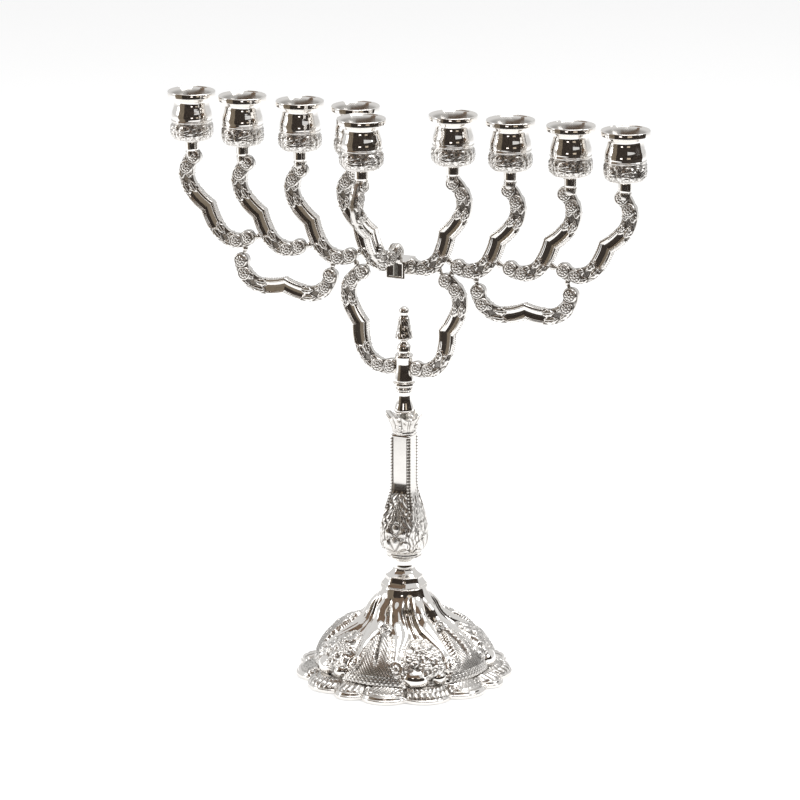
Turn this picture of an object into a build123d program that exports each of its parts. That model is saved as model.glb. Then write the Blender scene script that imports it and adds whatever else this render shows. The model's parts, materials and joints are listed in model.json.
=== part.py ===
from build123d import *
import os
from itertools import pairwise
from math import atan2, cos, degrees, radians, sin

# Nine-cup Hanukkah candelabrum in silver-plated cast brass, in millimetres.
# +Z is up, the row of eight cups runs along X and the shamash cup stands towards -Y.
# The origin is on the stem's axis, at the plane that the foot stands on.

os.makedirs("parts", exist_ok=True)
up = Vector(0, 0, 1)

# Row and height
rim_height = 398.6
cup_reaches = (36.0, 77.7, 121.1, 160.0)
shamash_rim_height = 402.6
shamash_turn = 10.0

# Candle cup, heights measured down from the rim
lip_radius = 16.6
waist_radius = 12.2
bead_radius = 14.3
band_radius = 15.1
cup_base_radius = 12.7
socket_radius = 10.6
mouth_radius = 15.4
waist_drop = 8.0
bead_drop = 20.5
band_drop = 27.0
floor_drop = 31.0
cup_drop = 34.4
stud_radius = 4.65
stud_drop = 42.0
screw_radius = 2.0
screw_head_radius = 4.0
screw_head_height = 2.2
screw_drop = 50.0

# Arm casting: half of the centreline, from the middle of the chord to an end
arm_thickness = 8.5
arm_half_chord = 33.75
arm_kink = (0, -12.5)
arm_bend = (16.5, -15.5)
arm_knuckle = (28.0, -10.0)
arm_end = (arm_half_chord, 0)
flute_width = 12.5
knuckle_width = 11.4
end_width = 10.6
trough_width = 7.4
trough_depth = 1.6

# Where the arms' ends are centred on the right-hand side: distance from the axis, height
arm_feet = ((5.1, 291.7), (40.1, 293.9), (78.3, 296.6), (117.3, 299.3))
arm_tops = ((36.4, 351.6), (77.0, 350.4), (117.6, 351.6), (158.2, 352.6))
bracket_ends = ((55.1, 278.4), (122.2, 282.7))
main_arm_ends = ((9.6, 219.4), (31.0, 283.2))
shamash_arm_foot = (13.5, 304.2)
shamash_arm_reach = 54.6
shamash_arm_top = 356.4

# Centre block and the pivot of the shamash arm
block_width = 13.4
block_front = 14.7
block_back = 5.0
block_bottom = 284.5
block_top = 297.0
pivot_radius = 2.0
pivot_bottom = 287.0
pivot_top = 303.0
running_fit = 0.05
part_gap = 0.3

# Pins between the castings
pin_radius = 1.3
pin_inset = 3.3

# Centre column, heights
rod_radius = 3.0
rod_bottom = 51.0
rod_top = 233.0
collar_bottom = 64.0
collar_step = 71.0
collar_top = 76.3
ring_top = 86.0
shaft_top = 172.2
crown_top = 187.5
vase_top = 203.1
disc_top = 209.1
hub_top = 228.5
knob_top = 236.2
cone_bottom = 240.0
cone_top = 254.8
ball_radius = 3.65
shaft_side = 14.5
crown_profile = ((9.2, shaft_top), (9.6, 178), (12.2, crown_top))

# Foot
foot_radius = 76.0
cusp_radius = 71.5
lobe_edges = (-137, -110, -92, -65, -38, -10.5, 7, 34, 52, 79, 106, 124, 151, 178, 196, 223)
flange_height = 3.6
foot_wall = 2.6
plate_radius = 60.0
plate_thickness = 1.5
cavity_radius = 54.5
washer_top = 61.2
nut_across = 10.0
nut_height = 5.5
washer_radius = 7.0
washer_height = 1.6
dome_profile = (
    (59.5, 6), (58.5, 14), (56.5, 24), (50, 33.5), (38, 39.5), (28.5, 43.2), (23.6, 48), (20.3, 53.5),
    (17.6, 59.5), (16.2, collar_bottom),
)
cavity_corner = (cavity_radius, plate_thickness)
cavity_profile = (
    (cavity_radius, 12), (52.8, 23), (47, 31), (36, 36.6), (25, 40), (19.6, 45.5), (16.5, 52),
    (13.4, washer_top),
)


def save(piece, name):
    """Label a finished piece and write its STEP file."""
    piece.part.label = name
    export_step(piece.part, f"parts/{name}.step")


def revolved(points, bore=0.0):
    """A turned piece from its outer profile of (radius, height) points, with an optional bore."""
    low = points[0][1]
    high = points[-1][1]
    with BuildPart() as turned:
        with BuildSketch(Plane.XZ):
            with BuildLine():
                Polyline((bore, low), *points, (bore, high), close=True)
            make_face()
        revolve(axis=Axis.Z)
    return turned


def row_vector(reach, height, side):
    """A point in the plane of the row; side is -1 on the left and 1 on the right."""
    return Vector(side * reach, 0, height)


def shamash_vector(reach, height):
    """A point in the upright plane of the shamash arm, by its distance in front of the axis."""
    swung = max(0.0, reach - shamash_arm_foot[0])
    depth = min(reach, shamash_arm_foot[0]) + swung * cos(radians(shamash_turn))
    return Vector(-swung * sin(radians(shamash_turn)), -depth, height)


def arm_plane(foot, top):
    """An arm's own plane: X runs from the foot end to the top end, and it bows towards -Y."""
    chord = (top - foot).normalized()
    heading = Vector(chord.X, chord.Y, 0).normalized()
    return Plane(origin=(foot + top) * 0.5, x_dir=chord, z_dir=heading.cross(up))


def arm_path():
    """The centreline of the arm casting, from the foot end to the top end."""
    half = [arm_bend, arm_knuckle, arm_end]
    return [(-x, y) for x, y in reversed(half)] + [arm_kink] + half


def slots(points, widths):
    """Round-ended bars along a centreline, one for each pair of points, in the current sketch."""
    for (start, end), width in zip(pairwise(points), widths):
        run = Vector(*end) - Vector(*start)
        middle = (Vector(*start) + Vector(*end)) * 0.5
        with Locations((middle.X, middle.Y)):
            SlotCenterToCenter(run.length, width, rotation=degrees(atan2(run.Y, run.X)))


def build_arm(plane, cutters, seat=None):
    """The arm casting in a plane, with a seat for a cup's stud, less the pieces that enter it."""
    path = arm_path()
    widths = (end_width, knuckle_width, flute_width, flute_width, knuckle_width, end_width)
    with BuildPart() as arm:
        with BuildSketch(plane):
            slots(path, widths)
        extrude(amount=arm_thickness / 2, both=True)
        for face, inward in ((arm_thickness / 2, -trough_depth), (-arm_thickness / 2, trough_depth)):
            with BuildSketch(plane.offset(face)):
                slots(path[2:5], (trough_width, trough_width))
            extrude(amount=inward, mode=Mode.SUBTRACT)
        if seat is not None:
            with BuildSketch(Plane(origin=seat, z_dir=(0, 0, -1))):
                Circle(stud_radius)
            extrude(amount=stud_radius)
        for cutter in cutters:
            add(cutter, mode=Mode.SUBTRACT)
    return arm


def build_pin(start, end):
    """A plain round pin between the ends of two castings, set into both."""
    along = (end - start).normalized()
    with BuildPart() as pin:
        with BuildSketch(Plane(origin=start + along * pin_inset, z_dir=along)):
            Circle(pin_radius)
        extrude(amount=(end - start).length - 2 * pin_inset)
    return pin


def bend_point(foot, top):
    """The lower bend of an arm, where the next casting outwards is pinned to it."""
    return arm_plane(foot, top).from_local_coords(Vector(-arm_bend[0], arm_bend[1], 0))


def knuckle_point(foot, top):
    """The centre of an arm's lower knuckle."""
    return arm_plane(foot, top).from_local_coords(Vector(-arm_knuckle[0], arm_knuckle[1], 0))


def build_cup(centre, rim):
    """A candle cup: flared mouth, straight socket, chased belly and a screw hole in its floor."""
    with BuildPart() as cup:
        with BuildSketch(Plane(origin=(centre.X, centre.Y, rim), x_dir=(1, 0, 0), z_dir=(0, -1, 0))):
            with BuildLine():
                Polyline((screw_radius, -cup_drop), (cup_base_radius, -cup_drop), (band_radius, -band_drop))
                Line((band_radius, -band_drop), (bead_radius, -bead_drop))
                Line((bead_radius, -bead_drop), (waist_radius + 0.4, -bead_drop + 2.5))
                Spline(
                    (waist_radius + 0.4, -bead_drop + 2.5),
                    (waist_radius, -waist_drop - 1.5),
                    (lip_radius, -0.9),
                    tangents=[(-0.1, 1), (0.9, 1)],
                )
                Line((lip_radius, -0.9), (lip_radius, 0))
                Line((lip_radius, 0), (mouth_radius, 0))
                Line((mouth_radius, 0), (socket_radius, -waist_drop - 1))
                Line((socket_radius, -waist_drop - 1), (socket_radius, -floor_drop))
                Line((socket_radius, -floor_drop), (screw_head_radius, -floor_drop))
                Polyline(
                    (screw_head_radius, -floor_drop),
                    (screw_head_radius, -floor_drop - screw_head_height),
                    (screw_radius, -floor_drop - screw_head_height),
                    (screw_radius, -cup_drop),
                )
            make_face()
        revolve(axis=Axis((centre.X, centre.Y, 0), (0, 0, 1)))
    return cup


def build_tube(centre, bottom, top, outer, inner=0.0):
    """An upright round bar, or a tube where inner is given."""
    with BuildPart() as tube:
        with BuildSketch(Plane(origin=(centre.X, centre.Y, bottom), z_dir=(0, 0, 1))):
            Circle(outer)
            if inner > 0:
                Circle(inner, mode=Mode.SUBTRACT)
        extrude(amount=top - bottom)
    return tube


def build_cup_screw(centre, rim):
    """The screw that holds a cup and its stud on the arm: a head sunk in the floor and a plain shank."""
    with BuildPart() as screw:
        with BuildSketch(Plane(origin=(centre.X, centre.Y, rim - floor_drop), z_dir=(0, 0, -1))):
            Circle(screw_head_radius)
        extrude(amount=screw_head_height)
        with BuildSketch(Plane(origin=(centre.X, centre.Y, rim - screw_drop), z_dir=(0, 0, 1))):
            Circle(screw_radius)
        extrude(amount=screw_drop - floor_drop)
    return screw


# Foot: a lobed flange and a bellied dome, cast as one shell
with BuildPart() as foot:
    with BuildSketch(Plane.XY):
        with BuildLine():
            for first, last in pairwise(lobe_edges):
                angles = (first, (first + last) / 2, last)
                radii = (cusp_radius, foot_radius, cusp_radius)
                ThreePointArc(*[
                    (radius * cos(radians(angle)), radius * sin(radians(angle)))
                    for radius, angle in zip(radii, angles)
                ])
        make_face()
    extrude(amount=flange_height)
    with BuildSketch(Plane.XZ):
        with BuildLine():
            Polyline((0, collar_bottom), (0, 0), (plate_radius, 0), dome_profile[0])
            Spline(*dome_profile)
            Line(dome_profile[-1], (0, collar_bottom))
        make_face()
    revolve(axis=Axis.Z)
    with BuildSketch(Plane.XZ):
        with BuildLine():
            Polyline((0, washer_top), (0, plate_thickness), cavity_corner, cavity_profile[0])
            Spline(*cavity_profile)
            Line(cavity_profile[-1], (0, washer_top))
        make_face()
    revolve(axis=Axis.Z, mode=Mode.SUBTRACT)
    with BuildSketch(Plane.XY):
        Circle(plate_radius)
    extrude(amount=plate_thickness, mode=Mode.SUBTRACT)
    with BuildSketch(Plane.XY.offset(collar_bottom)):
        Circle(rod_radius)
    extrude(amount=washer_top - foot_wall - collar_bottom, mode=Mode.SUBTRACT)
save(foot, "foot")

with BuildPart() as base_plate:
    with BuildSketch(Plane.XY):
        Circle(plate_radius)
    extrude(amount=plate_thickness)
save(base_plate, "base_plate")

# Tie rod with its nut and washer under the dome
axis_point = Vector(0, 0, 0)
nut_top = washer_top - washer_height
save(build_tube(axis_point, rod_bottom, rod_top, rod_radius), "tie_rod")
save(build_tube(axis_point, nut_top, washer_top, washer_radius, rod_radius), "tie_rod_washer")

with BuildPart() as tie_rod_nut:
    with BuildSketch(Plane.XY.offset(nut_top - nut_height)):
        RegularPolygon(nut_across / 2, 6, major_radius=False)
        Circle(rod_radius, mode=Mode.SUBTRACT)
    extrude(amount=nut_height)
save(tie_rod_nut, "tie_rod_nut")

# Octagonal collar in two concave tiers
with BuildPart() as octagonal_collar:
    tiers = (
        ((collar_bottom, 16.2), (67.0, 14.2), (collar_step, 13.0)),
        ((collar_step, 11.6), (73.4, 9.2), (collar_top, 7.6)),
    )
    for tier in tiers:
        for height, radius in tier:
            with BuildSketch(Plane.XY.offset(height)):
                RegularPolygon(radius, 8, rotation=22.5)
        loft(ruled=True)
    with BuildSketch(Plane.XY.offset(collar_bottom)):
        Circle(rod_radius)
    extrude(amount=collar_top - collar_bottom, mode=Mode.SUBTRACT)
save(octagonal_collar, "octagonal_collar")

save(revolved(((7.1, collar_top), (6.7, 80.0), (8.4, 84.6), (12.4, ring_top)), rod_radius), "neck_ring")

# Stem: a leafy bulge that runs up into a square shaft
with BuildPart() as stem:
    with BuildSketch(Plane.XZ):
        with BuildLine():
            Polyline((rod_radius, 132), (rod_radius, ring_top), (12.6, ring_top), (12.8, 88))
            Spline((12.8, 88), (16.6, 97.2), (13.6, 110), (10.4, 122), (9.4, 132))
            Line((9.4, 132), (rod_radius, 132))
        make_face()
    revolve(axis=Axis.Z)
    with BuildSketch(Plane.XY.offset(ring_top)):
        Rectangle(shaft_side, shaft_side)
        Circle(rod_radius, mode=Mode.SUBTRACT)
    extrude(amount=shaft_top - ring_top)
save(stem, "stem")

# Crown of four carved leaves, notched on the diagonals
with BuildPart() as stem_crown:
    with BuildSketch(Plane.XZ):
        with BuildLine():
            Polyline((rod_radius, shaft_top), *crown_profile, (rod_radius, crown_top), close=True)
        make_face()
    revolve(axis=Axis.Z)
    notch_plane = Plane.XY.offset(crown_top)
    with BuildSketch(notch_plane):
        with PolarLocations(13.4, 4, start_angle=45):
            Circle(4.2)
    extrude(amount=-8, taper=18, mode=Mode.SUBTRACT)
save(stem_crown, "stem_crown")

vase_profile = ((6.6, crown_top), (7.0, 189.4), (6.4, 191.6), (5.4, 195.2), (5.1, 199.0), (5.5, vase_top))
save(revolved(vase_profile, rod_radius), "vase_neck")

disc_profile = ((6.1, vase_top), (6.1, 205.2), (5.4, 205.8), (7.65, 206.6), (7.65, disc_top))
save(revolved(disc_profile, rod_radius), "bearing_disc")

hub_profile = ((7.05, disc_top + part_gap), (6.6, 213.0), (5.9, 221.7), (6.2, 226.0), (6.2, hub_top))
hub_blank = revolved(hub_profile, rod_radius + running_fit)

# Finial: knob, neck, cone and ball in one turning, screwed on the tie rod
with BuildPart() as finial:
    with BuildSketch(Plane.XZ):
        with BuildLine():
            Polyline((0, cone_top), (0, rod_top), (rod_radius, rod_top), (rod_radius, hub_top + part_gap),
                     (4.4, hub_top + part_gap))
            Spline((4.4, hub_top + part_gap), (5.0, 232.6), (3.6, knob_top))
            Polyline((3.6, knob_top), (2.6, 237.4), (6.25, cone_bottom), (3.6, cone_top), (0, cone_top))
        make_face()
    revolve(axis=Axis.Z)
    with Locations((0, 0, cone_top + ball_radius)):
        Sphere(ball_radius)
    with Locations((0, 0, cone_top)):
        Cylinder(2.4, 1.6)
save(finial, "finial")

# Pins between the castings, both sides
pins = []
for side in (-1, 1):
    feet = [row_vector(*point, side) for point in arm_feet]
    tops = [row_vector(*point, side) for point in arm_tops]
    bracket = [row_vector(*point, side) for point in bracket_ends]
    main_top = row_vector(*main_arm_ends[1], side)
    bends = [bend_point(*ends) for ends in zip(feet, tops)]
    knuckles = [knuckle_point(*ends) for ends in zip(feet, tops)]
    pins += [build_pin(outer, inner) for outer, inner in zip(feet[1:], bends)]
    pins.append(build_pin(bracket[0], knuckles[1]))
    pins.append(build_pin(bracket[1], feet[3]))
    pins.append(build_pin(main_top, feet[1]))
    pins.append(build_pin(main_top, (bends[0] + knuckles[0]) * 0.5))
    pins.append(build_pin(row_vector(0.9, arm_feet[0][1], side), row_vector(14.5, arm_feet[0][1], side)))
    pins.append(build_pin(row_vector(1.1, 220.0, side), row_vector(13.6, 220.0, side)))

with BuildPart() as link_pins:
    for pin in pins:
        add(pin.part)
save(link_pins, "link_pins")

with BuildPart() as hub:
    add(hub_blank.part)
    add(link_pins.part, mode=Mode.SUBTRACT)
save(hub, "hub")

# Centre block, which carries the two inner arms and the pivot of the shamash arm
pivot_centre = Vector(0, -shamash_arm_foot[0], 0)
pivot_pin = build_tube(pivot_centre, pivot_bottom, pivot_top, pivot_radius)
with BuildPart() as centre_block:
    with BuildSketch(Plane.XY.offset(block_bottom)):
        with Locations((0, (block_back - block_front) / 2)):
            Rectangle(block_width, block_back + block_front)
    extrude(amount=block_top - block_bottom)
    add(pivot_pin.part, mode=Mode.SUBTRACT)
    add(link_pins.part, mode=Mode.SUBTRACT)
save(centre_block, "centre_block")
save(pivot_pin, "shamash_pivot_pin")

# Main arms, from the hub up to the inner candle arms
for side, word in ((-1, "left"), (1, "right")):
    main_plane = arm_plane(*[row_vector(*point, side) for point in main_arm_ends])
    main_arm = build_arm(main_plane, (hub_blank.part, link_pins.part))
    save(main_arm, f"main_arm_{word}")
    bracket_plane = arm_plane(*[row_vector(*point, side) for point in bracket_ends])
    bracket_arm = build_arm(bracket_plane, (link_pins.part,))
    save(bracket_arm, f"bracket_arm_{word}")

# Candle arms with their studs, cups and screws, numbered outwards from the middle
cup_screws = []
for side, word in ((-1, "left"), (1, "right")):
    for number, (reach, foot_end, top_end) in enumerate(zip(cup_reaches, arm_feet, arm_tops), start=1):
        centre = row_vector(reach, 0, side)
        seat = Vector(centre.X, centre.Y, rim_height - stud_drop)
        screw = build_cup_screw(centre, rim_height)
        cup_screws.append(screw)
        plane = arm_plane(row_vector(*foot_end, side), row_vector(*top_end, side))
        stud = build_tube(centre, seat.Z, rim_height - cup_drop, stud_radius, screw_radius)
        cutters = (centre_block.part, link_pins.part, screw.part, stud.part)
        save(build_arm(plane, cutters, seat), f"candle_arm_{word}_{number}")
        save(stud, f"cup_stud_{word}_{number}")
        save(build_cup(centre, rim_height), f"cup_{word}_{number}")

with BuildPart() as row_cup_screws:
    for screw in cup_screws:
        add(screw.part)
save(row_cup_screws, "row_cup_screws")

# Shamash arm, turned a little to the left on its pivot, with its stud, cup and screw
shamash_centre = shamash_vector(shamash_arm_reach, 0)
shamash_seat = Vector(shamash_centre.X, shamash_centre.Y, shamash_rim_height - stud_drop)
shamash_screw = build_cup_screw(shamash_centre, shamash_rim_height)
shamash_foot = shamash_vector(*shamash_arm_foot)
shamash_top = shamash_vector(shamash_arm_reach, shamash_arm_top)
shamash_plane = arm_plane(shamash_foot, shamash_top)
pivot_hole = build_tube(pivot_centre, block_top, pivot_top + part_gap, pivot_radius + running_fit)
pivot_boss = build_tube(pivot_centre, block_top + part_gap, shamash_arm_foot[1] + 2, stud_radius)
shamash_stud = build_tube(
    shamash_centre, shamash_seat.Z, shamash_rim_height - cup_drop, stud_radius, screw_radius
)
with BuildPart() as shamash_arm:
    add(build_arm(shamash_plane, (shamash_screw.part, shamash_stud.part), shamash_seat).part)
    add(pivot_boss.part)
    add(pivot_hole.part, mode=Mode.SUBTRACT)
save(shamash_arm, "shamash_arm")
save(shamash_stud, "shamash_cup_stud")
save(build_cup(shamash_centre, shamash_rim_height), "shamash_cup")
save(shamash_screw, "shamash_cup_screw")
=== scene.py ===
# %% [markdown]
# # A silver-plated Hanukkah lamp
# The real lamp is cast brass under silver plate: one arm pattern is cast thirteen times, the cups and the
# stem carry chased relief, and the rest is turned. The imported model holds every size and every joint.
# This lesson builds the surfaces that the eye reads around it, one kind of piece at a time.

# %% Load the frame that every piece is built around
import json
import bmesh
import bpy
import numpy as np
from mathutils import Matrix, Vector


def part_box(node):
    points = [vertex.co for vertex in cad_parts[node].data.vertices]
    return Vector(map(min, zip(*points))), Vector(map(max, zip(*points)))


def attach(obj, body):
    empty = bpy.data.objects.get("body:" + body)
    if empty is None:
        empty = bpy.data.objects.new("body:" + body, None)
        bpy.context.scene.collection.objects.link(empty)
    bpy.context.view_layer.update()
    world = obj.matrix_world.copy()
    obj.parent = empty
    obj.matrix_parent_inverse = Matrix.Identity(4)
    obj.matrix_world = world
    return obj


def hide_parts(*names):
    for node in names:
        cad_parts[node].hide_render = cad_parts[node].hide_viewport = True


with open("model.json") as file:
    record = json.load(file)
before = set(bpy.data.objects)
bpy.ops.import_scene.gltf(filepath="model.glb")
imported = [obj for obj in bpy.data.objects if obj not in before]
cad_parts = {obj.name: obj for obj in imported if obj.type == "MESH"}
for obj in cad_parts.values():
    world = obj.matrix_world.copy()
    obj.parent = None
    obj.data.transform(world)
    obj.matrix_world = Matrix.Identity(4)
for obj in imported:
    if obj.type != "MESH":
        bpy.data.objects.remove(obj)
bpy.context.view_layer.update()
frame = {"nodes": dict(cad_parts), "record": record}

record = frame["record"]
body_of = {node: body for body, nodes in record["behaviour"]["bodies"].items() for node in nodes}
sockets = {m["name"]: np.array(m["pos_m"]) * 1000 for m in record["mounts"] if m["kind"] == "bore"}

# %% [markdown]
# ## Arrays into meshes
# A shape here is a small bundle of arrays: its points in millimetres, its faces, and two numbers at each
# point. `tone` says how rubbed or how blackened the plate is there, and where shade is painted into it, and
# `polish` how smooth it is. The shapes could be built face by face with bmesh, but whole arrays are faster
# and show the formula plainly.

# %% Shapes as bundles of arrays
def shape(points, faces, tone=1.0, polish=1.0):
    """Points as an n by 3 array, faces as a list of index arrays, tone and polish as n numbers each."""
    points = np.asarray(points, dtype=float)
    ones = np.ones(len(points))
    return {"points": points, "faces": faces, "tone": ones * tone, "polish": ones * polish}


def joined(*shapes):
    """All shapes in one bundle: each one's face indices move up by the points that come before it."""
    starts = np.cumsum([0] + [len(s["points"]) for s in shapes])
    faces = [f + start for s, start in zip(shapes, starts) for f in s["faces"]]
    stacked = {key: np.concatenate([s[key] for s in shapes]) for key in ("points", "tone", "polish")}
    return {**stacked, "faces": faces}


def grid_faces(rows, columns, wrap=True):
    """Quads between neighbouring rows and columns; wrap joins the last column to the first."""
    row, column = np.meshgrid(np.arange(rows - 1), np.arange(columns if wrap else columns - 1), indexing="ij")
    following = (column + 1) % columns
    corners = (row * columns + column, row * columns + following,
               (row + 1) * columns + following, (row + 1) * columns + column)
    return np.stack([c.ravel() for c in corners], axis=1)


def placed(bundle, origin, x_axis, y_axis, z_axis):
    """The bundle moved into a frame: origin plus each coordinate times its axis."""
    axes = np.array([x_axis, y_axis, z_axis], dtype=float)
    return {**bundle, "points": np.asarray(origin, dtype=float) + bundle["points"] @ axes}


def make_piece(name, bundle, material, node, hides=True):
    """A mesh object from a bundle, welded at its seams and poles, riding on the body of a CAD node."""
    mesh = bpy.data.meshes.new(name)
    faces = [face for block in bundle["faces"] for face in block.tolist()]
    mesh.from_pydata((bundle["points"] / 1000).tolist(), [], faces)
    for key in ("tone", "polish"):
        layer = mesh.attributes.new(key, "FLOAT", "POINT")
        layer.data.foreach_set("value", bundle[key].astype(np.float32))
    weld = bmesh.new()
    weld.from_mesh(mesh)
    bmesh.ops.remove_doubles(weld, verts=weld.verts, dist=weld_distance)
    bmesh.ops.recalc_face_normals(weld, faces=weld.faces)
    weld.to_mesh(mesh)
    weld.free()
    mesh.shade_smooth()
    mesh.materials.append(material)
    piece = bpy.data.objects.new(name, mesh)
    bpy.context.scene.collection.objects.link(piece)
    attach(piece, body_of[node])
    if hides:
        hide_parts(node)
    return piece


weld_distance = 2e-6
print("grid_faces(3, 4) gives", len(grid_faces(3, 4)), "quads")

# %% [markdown]
# ## Curves, lathe work and beads
# A turned piece is a profile carried round an axis. The profile is a smooth curve through a few points,
# and a sharp arris is simply where two curves meet. Milgrain, the row of tiny beads along an edge, is
# hundreds of balls, so each has only twenty-four faces.

# %% Profiles, lathe and beads
def curve(points, samples):
    """A cubic through the points: Hermite pieces whose slopes are the central differences by chord length."""
    points = np.asarray(points, dtype=float)
    chord = np.concatenate([[0], np.cumsum(np.hypot(*np.diff(points, axis=0).T))])
    slope = np.gradient(points, chord, axis=0)
    at = np.linspace(0, chord[-1], samples)
    k = np.clip(np.searchsorted(chord, at, side="right") - 1, 0, len(chord) - 2)
    step = chord[k + 1] - chord[k]
    t = ((at - chord[k]) / step)[:, None]
    step = step[:, None]
    return ((2 * t**3 - 3 * t**2 + 1) * points[k] + (t**3 - 2 * t**2 + t) * step * slope[k]
            + (3 * t**2 - 2 * t**3) * points[k + 1] + (t**3 - t**2) * step * slope[k + 1])


def smoothstep(low, high, x):
    """0 below low, 1 above high, and 3t^2 - 2t^3 between them."""
    t = np.clip((x - low) / (high - low), 0, 1)
    return t * t * (3 - 2 * t)


def around(columns):
    """Evenly spaced angles round a full turn, in radians."""
    return np.linspace(0, 2 * np.pi, columns, endpoint=False)


def lathe(profile, columns, centre=(0, 0, 0), tone=1.0, polish=1.0):
    """Radius r and height z of each profile point, carried round: (r cos a, r sin a, z)."""
    profile = np.asarray(profile, dtype=float)
    angle = around(columns)[None, :]
    radius, height = profile[:, :1], profile[:, 1:]
    points = np.stack([radius * np.cos(angle), radius * np.sin(angle), height + 0 * angle], axis=-1)
    return shape(points.reshape(-1, 3) + centre, [grid_faces(len(profile), columns)], tone, polish)


def beads(centres, radius, tone=1.0):
    """Small balls of six by four faces, one at each centre: the centre plus radius times a unit ball."""
    latitude = np.linspace(-np.pi / 2, np.pi / 2, 5)
    ball = lathe(np.stack([np.cos(latitude), np.sin(latitude)], axis=1), 6)
    centres = np.asarray(centres, dtype=float).reshape(-1, 1, 3)
    points = centres + np.asarray(radius).reshape(-1, 1, 1) * ball["points"][None]
    jumps = np.arange(len(centres))[:, None, None] * len(ball["points"])
    faces = (ball["faces"][0][None] + jumps).reshape(-1, 4)
    return shape(points.reshape(-1, 3), [faces], tone)


def hollow_tone(height, reach=3, depth=0.35):
    """How far a relief stands above its own blurred copy, as 0 in a deep hollow and 1 on a high spot."""
    blurred = height
    for axis in (0, 1):
        blurred = sum(np.roll(blurred, k, axis) for k in range(-reach, reach + 1)) / (2 * reach + 1)
    return np.clip(0.72 + (height - blurred) / depth, 0, 1)


print("a bead has", len(beads([[0, 0, 0]], 1)["faces"][0]), "faces")

# %% [markdown]
# ## The finishes
# Silver plate is a metal with almost no colour of its own: it shows the room. What tells cast relief from
# a turned surface is the roughness, the fine grain left by the mould, and the black that polish leaves in
# the hollows. All three follow the tone and polish numbers stored on each point, and the tone numbers also
# carry painted shade inside the cups and along the stem's beaded arrises.

# %% Colour, nodes and the silver finishes
def linear(code):
    """sRGB hex to linear RGBA: c / 12.92 up to 0.04045, and ((c + 0.055) / 1.055) ** 2.4 above it."""
    c = np.array([int(code[k:k + 2], 16) for k in (1, 3, 5)]) / 255
    return tuple(np.where(c <= 0.04045, c / 12.92, ((c + 0.055) / 1.055) ** 2.4)) + (1.0,)


def add_node(tree, kind, inputs=None, **settings):
    """One node with its settings; an input is a value or another node's output, which is linked."""
    made = tree.nodes.new(kind)
    for key, value in settings.items():
        setattr(made, key, value)
    for key, value in (inputs or {}).items():
        if isinstance(value, bpy.types.NodeSocket):
            tree.links.new(value, made.inputs[key])
        else:
            made.inputs[key].default_value = value
    return made


def silver(name, bright, black, smooth, rough, grain_mm, grain_depth_mm):
    """Silver plate: darker and rougher where tone is low (blackening and painted shade), grained where polish
    is low.
    """
    material = bpy.data.materials.new(name)
    material.use_nodes = True
    tree = material.node_tree
    shader = tree.nodes["Principled BSDF"]
    shader.inputs["Metallic"].default_value = 1.0
    place = add_node(tree, "ShaderNodeTexCoord").outputs["Object"]
    tone = add_node(tree, "ShaderNodeAttribute", attribute_name="tone").outputs["Fac"]
    polish = add_node(tree, "ShaderNodeAttribute", attribute_name="polish").outputs["Fac"]
    cloud = add_node(tree, "ShaderNodeTexNoise", {"Vector": place, "Scale": 1000 / cloud_mm, "Detail": 3.0})
    grain = add_node(tree, "ShaderNodeTexNoise", {"Vector": place, "Scale": 1000 / grain_mm, "Detail": 2.0})
    clouded = add_node(tree, "ShaderNodeMath", {0: cloud.outputs["Fac"], 1: 0.16, 2: -0.08},
                       operation="MULTIPLY_ADD").outputs[0]
    wear_and_shade = add_node(tree, "ShaderNodeMath", {0: tone, 1: clouded}, operation="ADD", use_clamp=True).outputs[0]
    mix = add_node(tree, "ShaderNodeMix", {0: wear_and_shade, 6: linear(black), 7: linear(bright)}, data_type="RGBA")
    cast = add_node(tree, "ShaderNodeMath", {0: 1.0, 1: polish}, operation="SUBTRACT").outputs[0]
    buffed = add_node(tree, "ShaderNodeMapRange", {"Value": wear_and_shade, "To Min": rough, "To Max": smooth})
    roughness = add_node(tree, "ShaderNodeMath", {0: cast, 1: cast_roughness, 2: buffed.outputs["Result"]},
                         operation="MULTIPLY_ADD")
    bump = add_node(tree, "ShaderNodeBump", {"Height": grain.outputs["Fac"], "Strength": cast,
                                             "Distance": grain_depth_mm / 1000})
    for key, output in (("Base Color", mix.outputs[2]), ("Roughness", roughness.outputs[0]),
                        ("Normal", bump.outputs["Normal"])):
        tree.links.new(output, shader.inputs[key])
    return material


cloud_mm = 18.0
cast_roughness = 0.2
cast_silver = silver("cast silver plate, blackened relief", "#f2efeb", "#6e6861", 0.05, 0.34, 0.5, 0.05)
turned_silver = silver("turned silver plate, buffed", "#efece8", "#7d766e", 0.04, 0.3, 0.8, 0.02)
print("finishes:", [m.name for m in (cast_silver, turned_silver)])

# %% [markdown]
# ## Chased motifs
# Chasing repeats a few motifs: a rose seen from above, a pointed leaf with veins, a spiral. Each could be
# sculpted, but a motif is also a height over the plane it lies in, so a few formulas do, and the same rose
# serves the arms, the cups and the foot. Motifs are laid over the ground by taking the higher of the two.

# %% Roses, leaves and spirals as heights in millimetres
def rose(x, y, radius, petals=6, turn=0.0):
    """Two rings of petals round a button: each ring is |cos(n a / 2)| times a half-sine bulge in r."""
    r = np.hypot(x, y) / radius
    a = np.arctan2(y, x) + turn
    outer = np.abs(np.cos(petals * a / 2)) ** 0.6 * np.sin(np.pi * np.clip((r - 0.34) / 0.74, 0, 1)) ** 0.7
    inner = np.abs(np.sin(petals * a / 2)) ** 0.6 * np.sin(np.pi * np.clip((r - 0.14) / 0.5, 0, 1)) ** 0.7
    button = np.sqrt(np.clip(1 - (r / 0.24) ** 2, 0, 1))
    height = 0.16 * radius * np.maximum(np.maximum(outer, 1.15 * inner), 1.4 * button) + 0.02 * radius
    return np.where(r < 1.04, height, -1.0)


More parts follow.
